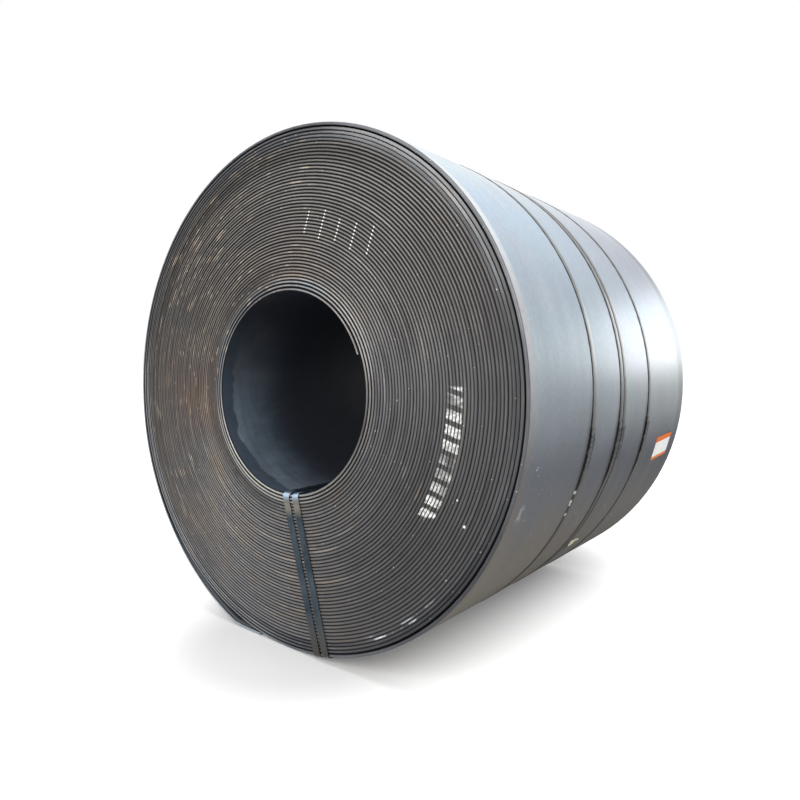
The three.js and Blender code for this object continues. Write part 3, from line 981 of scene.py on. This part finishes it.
def ring_strap_finish():
    """Strapping that has the steel's own tone, painted darker on the roll's underside, with a painted
    shadow on its near edge and a painted highlight on its far edge.
    """
    coat = RollFinish("ring_strap_steel")
    _, across, _ = coat.split(coat.flat())
    underside_shade = coat.underside_shade()
    cloud = coat.cloud(7, 4)
    fine = coat.cloud((90, 220, 90))
    cloudy = (cloud + (fine - 0.5) * 0.4).rise(0.35, 0.7)
    colour = cloudy.mix(tone(124, 128, 130), tone(152, 156, 158))
    # Painted highlight along the far edge.
    far_edge_highlight = across.rise(STRAP_WIDTH * 0.36, STRAP_WIDTH * 0.46)
    colour = far_edge_highlight.mix(colour, tone(206, 200, 188))
    # Painted darker on the roll's underside, as painted reflection of the ground.
    colour = underside_shade.mix(colour, cloud.mix(tone(58, 60, 62), tone(80, 77, 71)))
    rusty = coat.cloud(23, 4).rise(0.6, 0.74)
    colour = (rusty * 0.5).mix(colour, tone(110, 92, 76))
    # Painted shadow along the near edge.
    near_edge_shadow = across.rise(STRAP_WIDTH * -0.36, STRAP_WIDTH * -0.47)
    colour = near_edge_shadow.mix(colour, tone(44, 37, 33))
    colour = coat.dabs().mix(colour, DAB_WHITE)
    rough = 0.38 + underside_shade * 0.2 + (cloud - 0.5) * 0.3
    bumps = coat.bump(fine, 0.0002, 0.4)
    return coat.set(base_color=colour, roughness=rough, metallic=0.85 - underside_shade * 0.65, normal=bumps)


def eye_strap_finish():
    """Blued strapping: a painted highlight where it bends over the bore's rim, slate below, dusty at the
    end.
    """
    coat = RollFinish("eye_strap_steel")
    cloud = coat.cloud(7, 4)
    fine = coat.cloud((220, 90, 60))
    cloudy = (cloud + (fine - 0.5) * 0.4).rise(0.35, 0.7)
    colour = cloudy.mix(tone(44, 56, 65), tone(74, 87, 97))
    on_front = coat.y.rise(FRONT + 0.05, FRONT)
    # Painted highlight at the bend over the bore's rim: bluish white, then tan.
    bright = coat.radius.near(0.395, 0.035) * on_front
    colour = bright.mix(colour, tone(190, 216, 240))
    tan_highlight = coat.radius.near(0.44, 0.05) * on_front
    colour = (tan_highlight * 0.7).mix(colour, tone(158, 152, 138))
    dusty = coat.radius.rise(0.8, 0.97)
    colour = (dusty * 0.7).mix(colour, tone(90, 84, 76))
    rusty = coat.cloud(23, 4).rise(0.6, 0.76)
    colour = (rusty * 0.5).mix(colour, tone(98, 88, 76))
    rough = 0.34 + (cloud - 0.5) * 0.3
    return coat.set(base_color=colour, roughness=rough, metallic=0.8, normal=coat.bump(fine, 0.0002, 0.4))


def seal_finish():
    """Blued sheet, painted dark as shade where its edges are pressed in, and darker on the middle straps.
    """
    coat = Finish("seal_steel")
    along, across, _ = coat.split(coat.flat())
    _, y, _ = coat.split(coat.place)
    cloud = coat.cloud(40, 4)
    colour = cloud.rise(0.35, 0.7).mix(tone(62, 66, 70), tone(104, 108, 112))
    wave = coat.math("COSINE", along * (2 * math.pi / NOTCH_SPACING)) * 0.004 + (cloud - 0.5) * 0.012
    # Painted shade in the crimped edges, ragged with the notches.
    crimp_shade = (abs(across) + wave).rise(SEAL_WIDTH / 2 - 0.012, SEAL_WIDTH / 2 - 0.008)
    colour = crimp_shade.mix(colour, tone(10, 11, 13))
    on_middle = abs(y - MIDDLE_STRAPS).rise(0.06, 0.05)
    colour = (on_middle * 0.7).mix(colour, tone(40, 44, 49))
    rough = 0.5 + (cloud - 0.5) * 0.3
    return coat.set(base_color=colour, roughness=rough, metallic=0.4, normal=coat.bump(cloud, 0.0003, 0.4))


def label_finish():
    """White paper with an orange band along its top and bottom, smudged here and there."""
    coat = Finish("label_paper")
    along, _, _ = coat.split(coat.flat())
    half = (LABEL_TOP - LABEL_BOTTOM) * REACH / 2
    high_band, low_band = LABEL_BANDS
    soft = 0.001
    top = along.rise(half - high_band - soft, half - high_band)
    bottom = along.rise(low_band + soft - half, low_band - half)
    smudge = coat.cloud(30, 4).rise(0.55, 0.8)
    colour = (smudge * 0.3).mix(tone(254, 254, 252), tone(216, 212, 204))
    colour = top.mix(colour, tone(238, 116, 36))
    colour = bottom.mix(colour, tone(238, 130, 46))
    return coat.set(base_color=colour, roughness=0.75, metallic=0.0)


def scrap_finish():
    """A torn bit of paper, yellowed."""
    coat = Finish("scrap_paper")
    cloud = coat.cloud(60, 4)
    colour = cloud.rise(0.4, 0.7).mix(tone(236, 230, 206), tone(190, 180, 150))
    return coat.set(base_color=colour, roughness=0.85, metallic=0.0)


# ------------------------ the pieces
steel = Steel().finish()
ring_steel = ring_strap_finish()
eye_steel = eye_strap_finish()
seal_steel = seal_finish()
paper = label_finish()

keep(make_strip(), "hot_rolled_steel", steel, "coil")

flat_strap = make_ring_strap()
flat_seal = make_seal()
for ring in RINGS:
    node = "strap_" + ring
    lowest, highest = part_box(node)
    middle = (lowest.y + highest.y) / 2
    strap = copy_of(flat_strap, node + "_wound", (0, middle, 0))
    wind(strap, lambda angle: band_radius(angle) + strap_height(angle * REACH))
    smooth(strap)
    keep(strap, "strap_steel", ring_steel, node)
    for number, side in ((1, -1), (2, 1)):
        node = f"seal_{ring}_{number}"
        around = FIRST_SEALS + side * SEAL_SPACING / 2
        seal = copy_of(flat_seal, node + "_crimped", (around, middle, 0))
        wind(seal, band_radius)
        smooth(seal)
        keep(seal, "seal_steel", seal_steel, node)

# On the rear end the flat seal stands upright: its length along +Z, and its top towards +Y.
upright = Matrix.Rotation(math.radians(-90), 4, "Z") @ Matrix.Rotation(math.radians(-90), 4, "Y")
for side, slant in EYES.items():
    node = "eye_strap_" + side
    keep(make_eye_strap(node), "strap_steel", eye_steel, node)
    node = "eye_seal_" + side
    lowest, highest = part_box(node)
    middle = (lowest + highest) / 2
    place = Matrix.Translation((middle.x, lowest.y - GAP, middle.z))
    seal = copy_of(flat_seal, node + "_crimped")
    seal.matrix_world = place @ Matrix.Rotation(slant, 4, "Y") @ upright
    settle(seal)
    smooth(seal)
    keep(seal, "seal_steel", seal_steel, node)

for flat_piece in (flat_strap, flat_seal):
    bpy.data.objects.remove(flat_piece)
keep(make_label("label_sheet"), "label_paper", paper, "label")
keep(make_scrap("paper_scrap"), "label_paper", scrap_finish())

# ------------------------ stage, light and camera
CAMERA_OFF = Vector((1.79415, -1.71314, 0.11961))  # from the middle of the front end
CAMERA_REACH = 0.981  # the radius that this is counted in
CAMERA_YAW, CAMERA_DOWN, CAMERA_ROLL = math.radians(41.379), math.radians(1.935), math.radians(0.13)
LENS = 28.9
LENS_SHIFT = (0.0742, -0.0218)
AIM = Vector((0, MIDDLE, AXIS_Z))


def make_camera():
    data = bpy.data.cameras.new("camera")
    data.lens = LENS
    data.shift_x, data.shift_y = LENS_SHIFT
    camera = bpy.data.objects.new("camera", data)
    place = Vector((AXIS_X, FRONT, AXIS_Z)) + CAMERA_REACH * CAMERA_OFF
    camera.matrix_world = (
        Matrix.Translation(place)
        @ Matrix.Rotation(CAMERA_YAW, 4, "Z")
        @ Matrix.Rotation(math.pi / 2 - CAMERA_DOWN, 4, "X")
        @ Matrix.Rotation(CAMERA_ROLL, 4, "Z")
    )
    bpy.context.scene.collection.objects.link(camera)
    bpy.context.scene.camera = camera


def lamp(name, place, size, power, aim=AIM, mirrored=True):
    """A soft box that the camera doesn't see, mirrored in the steel or not."""
    data = bpy.data.lights.new(name, "AREA")
    data.shape = "RECTANGLE"
    data.size, data.size_y = size
    data.energy = power
    light = bpy.data.objects.new(name, data)
    light.location = place
    light.rotation_euler = (aim - Vector(place)).to_track_quat("-Z", "Y").to_euler()
    light.visible_camera = False
    light.visible_glossy = mirrored
    bpy.context.scene.collection.objects.link(light)


def make_world():
    """White where it is seen, and dimmer as a light."""
    world = bpy.data.worlds.new("studio")
    bpy.context.scene.world = world
    world.use_nodes = True
    nodes = Nodes(world.node_tree)
    background = world.node_tree.nodes["Background"]
    background.inputs["Color"].default_value = (1, 1, 1, 1)
    seen = nodes.seen("Is Camera Ray", "Is Glossy Ray", "Is Transmission Ray")
    nodes.feed(background.inputs["Strength"], SKY_LIGHT + seen * (1 - SKY_LIGHT))


def make_floor():
    """A plain pale floor. It glows where it is seen, and less near the roll, for its shadow to stay."""
    bpy.ops.mesh.primitive_plane_add(size=120)
    floor = bpy.context.active_object
    floor.name = "floor"
    coat = Finish("floor")
    x, y, _ = coat.split(coat.place)
    beyond = coat.math("MAXIMUM", abs(y) - REAR, 0)
    about = (x * x + beyond * beyond) ** 0.5
    glow = about.rise(0.25, 0.85).mix((NEAR_GLOW,) * 3 + (1,), (1, 1, 1, 1))
    coat.set(base_color=(0.8, 0.8, 0.8, 1), roughness=1, specular_ior_level=0, emission_color=glow)
    floor.data.materials.append(coat.set(emission_strength=coat.seen("Is Camera Ray") * FLOOR_GLOW))


make_camera()
bpy.context.scene.view_settings.view_transform = "Standard"
make_world()
make_floor()
lamp("key", (1.6, -5.2, 3.4), (3.5, 3.5), 200)
lamp("top", (-0.6, -0.6, 4.6), (3.0, 3.0), 90, mirrored=False)
lamp("behind", (1.75, 4.6, 1.8), (2.2, 1.2), 17, Vector((0.98, 0.4, 1.1)))
lamp("side", (5.2, 0.9, 1.5), (2.5, 2.5), 26, mirrored=False)
